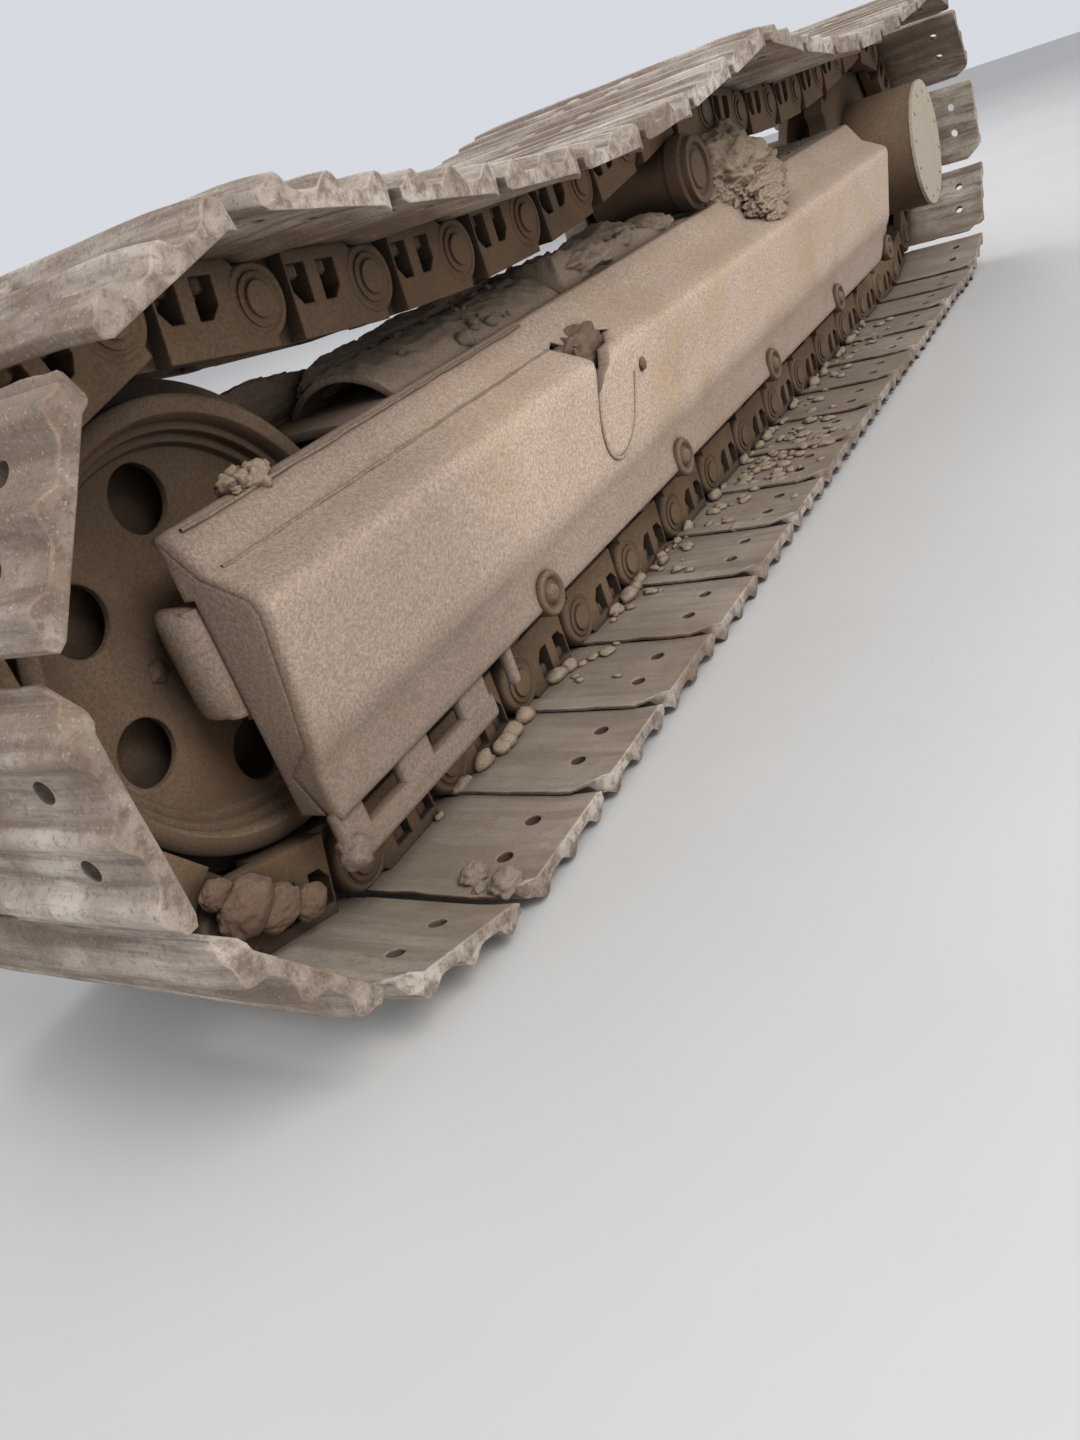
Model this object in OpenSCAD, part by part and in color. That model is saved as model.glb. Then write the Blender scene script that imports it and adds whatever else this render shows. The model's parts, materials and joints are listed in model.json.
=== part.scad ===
// Crawler track unit of an eight-tonne excavator: side frame, idler, rollers,
// sprocket with its final drive, and one endless chain with grouser shoes.
// +X points to the idler (the machine's front), +Y outwards, +Z up, in millimetres.

/* [Chain] */
// Distance from pin to pin
pitch = 154; // [130:1:175]
// Number of links in the loop
link_count = 38; // [36:1:42]
// Height of the pins above the shoe's inner face
pin_height = 34; // [32:1:42]
// Height of the rail above the pins
rail_height = 39; // [36:1:46]
// Distance from the middle plane to a link's inner face
link_inner_y = 24; // [20:1:30]
// Thickness of one end of a link
link_end_t = 17; // [12:1:20]
// Side play between two links
link_gap = 1; // [0.5:0.5:2]
// Diameter of a pin
pin_d = 30; // [26:1:34]
// Outer diameter of a bushing
bushing_d = 46; // [42:1:50]
// Radial running clearance of a pin in its bushing
pin_clear = 0.3; // [0.1:0.1:0.6]

/* [Shoes] */
// Width of a shoe
shoe_w = 450; // [400:10:600]
// Thickness of a shoe's plate
plate_t = 9; // [6:1:10]
// Height of a grouser below the plate
grouser_h = 15; // [10:1:24]
// Width of a worn grouser at its foot
grouser_foot = 34; // [26:1:40]
// Diameter of the holes for rubber pads
pad_hole_d = 16; // [10:1:20]
// Distance of the pad holes from the shoe's end
pad_hole_inset = 52; // [40:1:70]
// Distance between the two pad holes
pad_hole_pitch = 55; // [40:1:66]

/* [Idler] */
// Diameter of the idler's treads
idler_d = 370; // [350:2:400]
// Running gap between the idler's treads and the rails
idler_gap = 5; // [5:1:8]
// Height of the idler's middle flange above the treads
idler_flange_h = 16; // [12:1:24]
// Half width of the idler at its treads
idler_half_w = 44; // [38:1:48]
// Diameter of the holes in the idler's web
idler_hole_d = 56; // [40:2:76]
// Diameter of the circle on which these holes lie
idler_hole_circle_d = 229; // [220:2:260]
// Diameter of the idler's shaft
idler_shaft_d = 56; // [44:2:64]

/* [Sprocket] */
// Number of sprocket teeth, two for each link
teeth = 19; // [19:2:23]
// Thickness of the sprocket's teeth
tooth_w = 36; // [28:2:42]
// Slope of the chain where it leaves the sprocket, in degrees
sprocket_dip = 7.5; // [3:0.5:12]

/* [Rollers] */
// Diameter of a track roller's treads
roller_d = 120; // [100:2:124]
// Diameter of a track roller's shaft
roller_shaft_d = 42; // [36:2:46]
// Diameter of the carrier roller's treads
carrier_d = 96; // [84:2:110]
// Height of the rails on the carrier roller above the ground
carrier_rail_z = 493; // [490:1:520]
// Slope of the chain in front of the carrier roller, in degrees
front_dip = 11.5; // [4:0.5:14]

/* [Side frame] */
// Thickness of the side plates
side_t = 12; // [8:1:16]
// Height of the side plates' lower edge above the ground
frame_low_z = 139; // [132:1:146]
// Height of the frame's ridge above the ground
frame_top_z = 397; // [385:1:405]

/* [Final drive] */
// Diameter of the final drive's drum
drum_d = 244; // [220:2:270]
// Outer face of the drum's cover, from the middle plane
drum_out_y = 167; // [150:1:180]
// Diameter of the travel motor's barrel
motor_d = 190; // [160:2:200]

/* [Hidden] */
$fn = 48;
// Derived sizes. Rear to front, distances run along +X from the sprocket's centre.
half_p = pitch / 2;
z0 = grouser_h + plate_t + pin_height;
rail_z = z0 + rail_height;
wrap_step = 360 / teeth;
rs = half_p / sin(wrap_step);
zs = z0 + rs;
rp = sqrt(pow(idler_d / 2 + idler_gap + rail_height, 2) + half_p * half_p);
zi = z0 + rp;
roller_count = 5;
roller_z = rail_z + 0.3 + roller_d / 2;
first_pin = 1.1 * pitch;
hump_r = 200;
hump_dip = 12.5;
link_in_1 = link_inner_y + link_end_t;
link_out_0 = link_in_1 + link_gap;
link_out_1 = link_out_0 + link_end_t;
pin_half = link_out_1 + 4;
boss_r = 28;

// Upper strand over the carrier roller, as a share of the centre distance
function hump_x(L) = 0.507 * L;
function hump_top(L) = carrier_rail_z + rail_height + 9;

// A cubic through two ends [x, z, slope], at share t
function span(a, b, t) = let (dx = b[0] - a[0])
    [a[0] + dx * t,
     (1 + 2 * t) * (1 - t) * (1 - t) * a[1] + t * (1 - t) * (1 - t) * dx * a[2]
     + t * t * (3 - 2 * t) * b[1] - t * t * (1 - t) * dx * b[2]];
// Ends of the two upper spans, each [x, z, slope]
function ends(L) = [
    [L - rp * sin(front_dip), zi + rp * cos(front_dip), tan(front_dip)],
    [hump_x(L) + hump_r * sin(hump_dip), hump_top(L) - hump_r * (1 - cos(hump_dip)), -tan(hump_dip)],
    [hump_x(L) - hump_r * sin(hump_dip), hump_top(L) - hump_r * (1 - cos(hump_dip)), tan(hump_dip)],
    [rs * sin(sprocket_dip), zs + rs * cos(sprocket_dip), -tan(sprocket_dip)]];
// Lengths of the path's pieces: ground, idler, front span, hump, rear span, sprocket
function lens(L) = let (e = ends(L)) [
    L - first_pin, rp * (180 + front_dip) * PI / 180, e[0][0] - e[1][0],
    hump_r * 2 * hump_dip * PI / 180, e[2][0] - e[3][0], rs * (180 + sprocket_dip) * PI / 180];
function starts(l) = [0, l[0], l[0] + l[1], l[0] + l[1] + l[2], l[0] + l[1] + l[2] + l[3],
    l[0] + l[1] + l[2] + l[3] + l[4], l[0] + l[1] + l[2] + l[3] + l[4] + l[5]];
function arc_at(cx, cz, r, a) = [cx + r * cos(a), cz + r * sin(a)];
// The pins' path at distance s, for p = [centre distance, ends, lengths, starts]
function path_at(s, p) = let (L = p[0], e = p[1], l = p[2], q = p[3])
    s < q[1] ? [first_pin + s, z0] :
    s < q[2] ? arc_at(L, zi, rp, -90 + (s - q[1]) / rp * 180 / PI) :
    s < q[3] ? span(e[0], e[1], (s - q[2]) / l[2]) :
    s < q[4] ? arc_at(hump_x(L), hump_top(L) - hump_r, hump_r,
        90 - hump_dip + (s - q[3]) / hump_r * 180 / PI) :
    s < q[5] ? span(e[2], e[3], (s - q[4]) / l[4]) :
    s < q[6] ? arc_at(0, zs, rs, 90 - sprocket_dip + (s - q[5]) / rs * 180 / PI) :
    [s - q[6], z0];
function set_up(L) = let (l = lens(L)) [L, ends(L), l, starts(l)];
// The next pin lies one pitch away in a straight line
function chord(s, a, p) = norm(path_at(s, p) - a);
function halve(lo, hi, a, p, n) = n == 0 ? (lo + hi) / 2 : let (m = (lo + hi) / 2)
    chord(m, a, p) < pitch ? halve(m, hi, a, p, n - 1) : halve(lo, m, a, p, n - 1);
function next_s(s, p) = halve(s + 0.8 * pitch, s + 1.3 * pitch, path_at(s, p), p, 26);
function last_s(s, p, n) = n == 0 ? s : last_s(next_s(s, p), p, n - 1);
function walk(s, p, n) = n == 0 ? [s] : concat([s], walk(next_s(s, p), p, n - 1));
// The track adjuster sets the idler where the loop closes
function spare(L) = let (p = set_up(L)) last_s(0, p, link_count) - p[3][6] - first_pin;
function adjust(lo, hi, n) = n == 0 ? (lo + hi) / 2 : let (m = (lo + hi) / 2)
    spare(m) > 0 ? adjust(m, hi, n - 1) : adjust(lo, m, n - 1);
guess_L = (link_count * pitch - PI * (rs + rp)) / 2;
centres = adjust(guess_L - 50, guess_L + 50, 22);
loop = set_up(centres);
stops = walk(0, loop, link_count - 1);
pins = [for (s = stops) path_at(s, loop)];
function pin(k) = pins[k % link_count];
function heading(k) = atan2(pin(k + 1)[1] - pin(k)[1], pin(k + 1)[0] - pin(k)[0]);
function middle(k) = (pin(k) + pin(k + 1)) / 2;
// World place of a link's own point [x, z]
function place(k, v) = middle(k) + [v[0] * cos(heading(k)) - v[1] * sin(heading(k)),
    v[0] * sin(heading(k)) + v[1] * cos(heading(k))];
tip = [60, -z0];
reach = [for (k = [0:link_count - 1], q = [-1, 1]) place(k, [q * tip[0], tip[1]])[0]];
xs = -(max(reach) + min(reach)) / 2;
xi = xs + centres;
// Sprocket gaps meet the bushing that lies midway round the wrap
wrap_pins = [for (k = [0:link_count - 1]) if (stops[k] > loop[3][5] && stops[k] < loop[3][6]) pins[k]];
wrap_pin = wrap_pins[1];
wrap_angle = atan2(wrap_pin[1] - zs, wrap_pin[0]);
// The carrier roller touches the lowest rail line above it
carrier_x = hump_x(centres);
function rail_over(k, x, r) = let (a = heading(k), m = middle(k))
    m[1] + (x - m[0]) * tan(a) + (rail_height + r + 0.3) / cos(a);
carrier_z = min([for (k = [0:link_count - 1]) if (abs(middle(k)[0] - carrier_x) < 1.05 * pitch
    && middle(k)[1] > zi) rail_over(k, carrier_x, carrier_d / 2)]);

// Lengthwise places of the frame
frame_x0 = xs + 305;
frame_x1 = xi + 52;
root_x = xi - 284;
plate_y = side_t + 2;
ridge_in = 89 - plate_y;
roller_xs = [for (i = [0:roller_count - 1]) xi - 323 - i * (centres - 646) / (roller_count - 1)];
leg_xs = [xs + 0.68 * centres, xs + 0.36 * centres];

// A round bar along Y
module bar(r, y0, y1) rotate([90, 0, 0]) translate([0, 0, -y1]) cylinder(r = r, h = y1 - y0);
// A flat shape in X and Z, thick along Y
module slab(y0, y1) rotate([90, 0, 0]) translate([0, 0, -y1]) linear_extrude(y1 - y0) children();
// A section in Y and Z, drawn out along X
module run(x0, x1) translate([x0, 0, 0]) rotate([90, 0, 90]) linear_extrude(x1 - x0) children();
module box(x0, x1, y0, y1, z0, z1) translate([x0, y0, z0]) cube([x1 - x0, y1 - y0, z1 - z0]);
module on_link(k) translate([xs + middle(k)[0], 0, middle(k)[1]]) rotate([0, -heading(k), 0]) children();

// One shoe: three worn, rounded grousers, a raised lip over the next shoe's edge,
// clipped corners at the lip, holes for rubber pads and notches for the next link
grouser_xs = [53, -1, -55];
function worn(x) = [for (q = [[0.5, 0], [0.34, 0.3], [0.22, 0.78], [0.09, 1], [-0.09, 1], [-0.22, 0.78],
    [-0.34, 0.3], [-0.5, 0]]) [x + q[0] * grouser_foot, -plate_t - q[1] * grouser_h]];
module shoe() {
    w = shoe_w / 2;
    translate([0, 0, -pin_height]) difference() {
        slab(-w, w) polygon(concat([[-73, -plate_t + 2], [-73, -3], [-66, 0], [56, 0], [67, 5], [88, 5], [88, 1.4],
            [77, 1.4]], [for (x = grouser_xs, q = worn(x)) q]));
        for (m = [0, 1]) mirror([0, m, 0]) {
            translate([0, 0, -40]) linear_extrude(60) polygon([[62, w + 1], [62, w], [70, w - 6],
                [91, w - 34], [91, w + 1]]);
            for (i = [-1, 1]) translate([i * pad_hole_pitch / 2, w - pad_hole_inset, -40])
                cylinder(r = pad_hole_d / 2, h = 60);
            box(-74, -64, link_inner_y - 4, link_out_1 + 4, -40, 10);
        }
    }
}
module shoes() color("#b9b4a8") for (k = [0:link_count - 1]) on_link(k) shoe();

// One link: two cranked side plates, a bushing at the rear and a pin at the front
module link_side() {
    h = rail_height; b = -pin_height;
    difference() {
        union() {
            slab(link_inner_y, link_in_1) {
                polygon([[-52, b], [34, b], [34, h], [-89, h], [-89, 22], [-half_p, 0], [-62, -24]]);
                translate([-half_p, 0]) circle(r = boss_r);
            }
            slab(link_out_0, link_out_1) {
                polygon([[-34, b], [52, b], [62, -24], [half_p, 0], [89, 22], [89, h], [-34, h]]);
                translate([half_p, 0]) circle(r = boss_r);
            }
            box(-34, 34, link_inner_y, link_out_1, b, h);
        }
        slab(link_inner_y - 1, link_out_1 + 1) for (m = [0, 1]) mirror([m, 0])
            polygon([[8, -23], [32, -23], [32, 0], [22, 11], [8, 11]]);
        translate([-half_p, 0, 0]) bar(pin_d / 2 + pin_clear, link_inner_y - 1, link_in_1 + 1);
    }
}
module one_link() {
    for (m = [0, 1]) mirror([0, m, 0]) link_side();
    difference() {
        translate([-half_p, 0, 0]) bar(bushing_d / 2, -link_inner_y, link_inner_y);
        translate([-half_p, 0, 0]) bar(pin_d / 2 + pin_clear, -link_inner_y - 1, link_inner_y + 1);
    }
    translate([half_p, 0, 0]) bar(pin_d / 2, -pin_half, pin_half);
    translate([half_p, 0, 0]) for (y = [-link_out_1 - 1.5, link_out_1]) bar(22, y, y + 1.5);
}
module links() color("#8a6a4a") for (k = [0:link_count - 1]) on_link(k) one_link();

// The idler: one web with six holes between a hub and a stepped rim, and a middle flange
module idler_wheel() color("#8b7355") translate([xi, 0, zi]) difference() {
    rotate([90, 0, 0]) rotate_extrude() {
        r = idler_d / 2; w = idler_half_w; f = idler_flange_h;
        half = [[r + f, 14], [r + f - 3, 17], [r + 3, 20], [r, 23], [r, w - 3], [r - 3, w],
            [r - 22, w], [r - 25, w - 3], [r - 31, 16], [r - 37, 12], [62, 9], [54, 14], [50, 52],
            [idler_shaft_d / 2 + 0.05, 52]];
        polygon(concat(half, [for (i = [len(half) - 1:-1:0]) [half[i][0], -half[i][1]]]));
    }
    for (i = [0:5]) rotate([0, -91 - 60 * i, 0]) translate([idler_hole_circle_d / 2, 0, 0])
        bar(idler_hole_d / 2, -60, 60);
}
module idler_shaft() color("#7a7468") translate([xi, 0, zi]) bar(idler_shaft_d / 2, -80, 80);

// The yoke that carries the idler and slides in the fork, with rounded front ends
module idler_yoke() color("#8d6f4c") {
    for (m = [0, 1]) mirror([0, m, 0]) difference() {
        union() {
            box(xi - 70, xi + 44, 56, 84, zi - 54, zi + 39);
            translate([xi + 44, 70, zi - 54]) cylinder(r = 14, h = 93);
            box(xi - 262, xi - 69, 56, 84, zi - 40, zi + 20);
        }
        translate([xi, 0, zi]) bar(idler_shaft_d / 2, 50, 80);
    }
    box(xi - 262, xi - 234, -56, 56, zi - 40, zi + 20);
}
module adjuster_rod() color("#9a9a98") translate([root_x - 12, 0, zi - 6]) rotate([0, 90, 0])
    cylinder(r = 30, h = xi - 262 - root_x + 12);
module recoil_cylinder() color("#6f665a") translate([root_x - 432, 0, zi - 6]) rotate([0, 90, 0])
    cylinder(r = 56, h = 420);
module yoke_guides() color("#8d6f4c") for (m = [0, 1]) mirror([0, m, 0]) {
    box(root_x, xi + 36, 60, 86, zi + 40, zi + 52);
    box(root_x, xi + 36, 60, 86, zi - 67, zi - 55);
}

// Side walls: a ridge, a slope, a fold, and a lower crease
wall = [[89, frame_top_z], [114, 360], [154, 339], [157, 326], [139, 214], [111, 188], [132, frame_low_z]];
module wall_section() polygon(concat([for (p = wall) p],
    [for (i = [len(wall) - 1:-1:0]) wall[i] - [plate_y, 0]]));
module side_wall() difference() {
    run(frame_x0, frame_x1) wall_section();
    for (x = roller_xs) translate([x, 0, roller_z]) bar(roller_shaft_d / 2, 80, 180);
    slab(60, 180) polygon([[frame_x0 - 1, frame_low_z - 1], [frame_x0 + 110, frame_low_z - 1],
        [frame_x0 + 110, frame_low_z], [frame_x0, 184], [frame_x0 - 1, 184]]);
}
// A worn-through place at the fold of the outer wall
tear = [[xi - 600, 350], [xi - 566, 357], [xi - 530, 352], [xi - 499, 364], [xi - 507, 338], [xi - 500, 300],
    [xi - 524, 316], [xi - 552, 340]];
module frame_side_outer() color("#b39a6b") difference() {
    side_wall();
    slab(100, 170) polygon(tear);
}
module frame_side_inner() color("#b39a6b") mirror([0, 1, 0]) side_wall();
module frame_roof() color("#a58c60") difference() {
    box(frame_x0, xi - 150, -ridge_in, ridge_in, frame_top_z - 12, frame_top_z - 4);
    translate([xi, 0, frame_top_z - 20]) cylinder(r = 212, h = 30);
}
// Cross plates that tie the two walls and the roof together
low_y = 141.7;
module bulkheads() color("#8f7a55") for (x = [frame_x0 + 7, leg_xs[1], leg_xs[0], root_x - 12])
    difference() {
        run(x, x + 12) polygon(concat([for (i = [0:3]) wall[i] - [plate_y, i == 0 ? 12 : 0]],
            [[low_y - plate_y, 232], [-(low_y - plate_y), 232]],
            [for (i = [3:-1:0]) [-(wall[i][0] - plate_y), wall[i][1] - (i == 0 ? 12 : 0)]]));
        translate([x - 1, 0, zi - 6]) rotate([0, 90, 0]) cylinder(r = x < root_x - 20 ? 56 : 30, h = 14);
    }
// Closed fronts of the fork's two arms, with an inner plate each
module fork_arm() {
    box(root_x, frame_x1 - 12, 86, 96, 150, 345);
    run(frame_x1 - 12, frame_x1) polygon(concat([[86, 150], [113, 150]],
        [for (i = [5:-1:1]) wall[i] - [plate_y, 0]], [[ridge_in, frame_top_z - 3], [ridge_in, 345], [86, 345]]));
}
module fork_fronts() color("#a98f62") for (m = [0, 1]) mirror([0, m, 0]) fork_arm();
// Chain guards under the fork, with three windows each
module guard() difference() {
    run(xi - 238, xi + 61) polygon([[102, 84], [114, 84], [114, 126], [134, 126], [134, frame_low_z],
        [102, frame_low_z]]);
    for (x = [xi - 11, xi - 107, xi - 204]) box(x - 26, x + 26, 100, 116, 95, 123);
}
module guide_guard_outer() color("#a98f62") guard();
module guide_guard_inner() color("#a98f62") mirror([0, 1, 0]) guard();

// Track rollers, each on a shaft that ends in the side walls
module roller(n) color("#7d6b52") translate([roller_xs[n], 0, roller_z]) rotate([90, 0, 0]) rotate_extrude() {
    r = roller_d / 2; s = roller_shaft_d / 2 + 0.3;
    polygon([[s, -74], [44, -74], [48, -62], [r, -60], [r, -23], [r + 10, -20], [r + 10, 20], [r, 23],
        [r, 60], [48, 62], [44, 74], [s, 74]]);
}
module shaft(n) color("#6b665c") translate([roller_xs[n], 0, roller_z])
    bar(roller_shaft_d / 2, -129, 129);
module track_roller_1() roller(0);
module track_roller_2() roller(1);
module track_roller_3() roller(2);
module track_roller_4() roller(3);
module track_roller_5() roller(4);
module roller_shaft_1() shaft(0);
module roller_shaft_2() shaft(1);
module roller_shaft_3() shaft(2);
module roller_shaft_4() shaft(3);
module roller_shaft_5() shaft(4);

// Carrier roller above the roof, held by its shaft from the inner side
module carrier_roller() color("#8a6f4f") translate([xs + carrier_x, 0, carrier_z]) rotate([90, 0, 0])
    rotate_extrude() {
        r = carrier_d / 2;
        polygon([[22.3, 62], [42, 62], [r, 60], [r, -62], [r + 3, -64], [r + 3, -84], [r - 3, -87],
            [r - 3, -96], [r - 12, -96], [r - 14, -91], [26, -91], [24, -94], [0, -94], [0, -60],
            [22.3, -60]]);
    }
module carrier_shaft() color("#6b665c") translate([xs + carrier_x, 0, carrier_z]) bar(22, -122, 59.7);
module carrier_bracket() color("#9c8457") difference() {
    union() {
        box(xs + carrier_x - 42, xs + carrier_x + 42, -116, -76, 340, carrier_z);
        translate([xs + carrier_x, 0, carrier_z]) bar(42, -116, -76);
    }
    translate([xs + carrier_x, 0, carrier_z]) bar(22, -130, -60);
    mirror([0, 1, 0]) run(xs + carrier_x - 80, xs + carrier_x + 80) polygon(concat([[0, 300]],
        [for (i = [3:-1:0]) wall[i]], [[0, frame_top_z]]));
}

// Sprocket ring: a gap for every half pitch
module sprocket() color("#8b6b49") translate([xs, 0, zs]) rotate([0, -wrap_angle, 0]) slab(-tooth_w / 2,
    tooth_w / 2) difference() {
        circle(r = rs + 6);
        for (i = [0:teeth - 1]) rotate(i * wrap_step) {
            translate([rs, 0]) circle(r = bushing_d / 2 + 0.3);
            translate([rs, 0]) polygon([[0, -bushing_d / 2 - 0.3], [20, -28], [20, 28],
                [0, bushing_d / 2 + 0.3]]);
        }
        circle(r = 90);
    }
module drive_drum() color("#877a66") translate([xs, 0, zs]) {
    bar(drum_d / 2, tooth_w / 2, drum_out_y - 7);
}
module drive_cover() color("#c9bfae") translate([xs, 0, zs]) bar(drum_d / 2 + 1, drum_out_y - 7, drum_out_y);
module travel_motor() color("#7b7264") translate([xs, 0, zs]) {
    bar(105, -84, -tooth_w / 2 - 5);
    bar(85, -tooth_w / 2 - 6, tooth_w / 2 - 0.3);
    bar(80, -105, -83);
    bar(motor_d / 2, -180, -104);
    box(-60, 60, -215, -175, -55, 70);
}
module motor_plate() color("#9c8457") difference() {
    slab(-104, -84) union() {
        translate([xs, zs]) circle(r = 165);
        translate([xs, zs - 88]) square([311.7, 140]);
    }
    translate([xs, 0, zs]) bar(80, -110, -80);
}
// Legs to the machine's car body, on the inner side
flange_y = -shoe_w / 2;
module leg(x) difference() {
    union() {
        difference() {
            box(x - 130, x + 130, flange_y + 13, -90, 181, 369);
            box(x - 118, x + 118, flange_y + 12, -89, 193, 357);
        }
        box(x - 175, x + 175, flange_y, flange_y + 14, 163, 387);
    }
    for (i = [-1, 1], j = [-1, 1]) translate([x + i * 152, 0, 275 + j * 85])
        bar(11, flange_y - 2, flange_y + 20);
    mirror([0, 1, 0]) run(x - 140, x + 140) polygon(concat([[0, frame_low_z]], [[0, frame_top_z]], wall));
}
module leg_front() color("#a98f5e") leg(leg_xs[0]);
module leg_rear() color("#a98f5e") leg(leg_xs[1]);

shoes();
links();
idler_wheel();
idler_shaft();
idler_yoke();
adjuster_rod();
recoil_cylinder();
yoke_guides();
frame_side_outer();
frame_side_inner();
frame_roof();
bulkheads();
fork_fronts();
guide_guard_outer();
guide_guard_inner();
track_roller_1();
track_roller_2();
track_roller_3();
track_roller_4();
track_roller_5();
roller_shaft_1();
roller_shaft_2();
roller_shaft_3();
roller_shaft_4();
roller_shaft_5();
carrier_roller();
carrier_shaft();
carrier_bracket();
sprocket();
drive_drum();
drive_cover();
travel_motor();
motor_plate();
leg_front();
leg_rear();
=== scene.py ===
import bpy, bmesh, math, random, json
from mathutils import Vector, Matrix, noise

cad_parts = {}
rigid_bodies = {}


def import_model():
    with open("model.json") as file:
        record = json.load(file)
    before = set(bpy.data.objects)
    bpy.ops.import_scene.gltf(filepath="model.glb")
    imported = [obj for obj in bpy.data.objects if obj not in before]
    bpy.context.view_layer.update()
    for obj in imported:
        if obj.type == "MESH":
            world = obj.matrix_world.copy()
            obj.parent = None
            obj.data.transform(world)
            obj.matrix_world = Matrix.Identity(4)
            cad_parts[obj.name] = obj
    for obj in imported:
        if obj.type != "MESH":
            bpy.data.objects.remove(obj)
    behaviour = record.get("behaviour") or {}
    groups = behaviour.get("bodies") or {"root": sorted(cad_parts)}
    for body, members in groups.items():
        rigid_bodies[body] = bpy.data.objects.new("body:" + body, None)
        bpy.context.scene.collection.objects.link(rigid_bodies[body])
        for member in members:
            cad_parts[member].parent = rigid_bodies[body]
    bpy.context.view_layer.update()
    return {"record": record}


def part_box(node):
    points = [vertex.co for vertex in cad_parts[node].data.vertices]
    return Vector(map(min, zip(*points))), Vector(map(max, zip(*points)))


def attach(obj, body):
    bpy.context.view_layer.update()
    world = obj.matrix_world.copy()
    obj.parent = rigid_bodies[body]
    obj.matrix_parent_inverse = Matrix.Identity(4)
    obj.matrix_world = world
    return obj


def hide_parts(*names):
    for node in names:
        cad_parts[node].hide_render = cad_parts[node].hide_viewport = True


# One crawler track unit of an excavator, in metres: +X runs forwards to the idler, +Y outwards, +Z up
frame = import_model()
random.seed(7)
TAU = 2 * math.pi


def add(name, data):
    """A new object in the scene."""
    o = bpy.data.objects.new(name, data)
    bpy.context.scene.collection.objects.link(o)
    return o


# ---------------------------------------------------------------- camera
# Its axes and place were solved from points of the photograph
CAM_RIGHT = Vector((-0.447952, 0.837273, -0.31355))
CAM_DOWN = Vector((0.532572, -0.031805, -0.845787))
CAM_AHEAD = Vector((-0.718127, -0.54586, -0.431661))
CAM_PLACE = Vector((1.6686, 0.7491, 0.5491))
LENS_MM, SENSOR_MM, CLIP_START = 28.145, 36, 0.01

cd = bpy.data.cameras.new("camera")
cd.lens, cd.sensor_width, cd.clip_start = LENS_MM, SENSOR_MM, CLIP_START
cam = add("camera", cd)
cam.matrix_world = Matrix([(CAM_RIGHT[i], -CAM_DOWN[i], -CAM_AHEAD[i], CAM_PLACE[i]) for i in range(3)]
                          + [(0, 0, 0, 1)])
bpy.context.scene.camera = cam
bpy.context.scene.view_settings.view_transform = "Standard"


# ---------------------------------------------------------------- materials
BEVEL_SAMPLES, AO_SAMPLES = 4, 6


def lin(r, g, b):
    """A display colour of 0 to 255, as linear light."""
    return tuple(c / 255 / 12.92 if c / 255 <= 0.04045 else ((c / 255 + 0.055) / 1.055) ** 2.4
                 for c in (r, g, b)) + (1.0,)


def darker(color, share):
    return tuple(c * share for c in color[:3]) + (1,)


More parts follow.
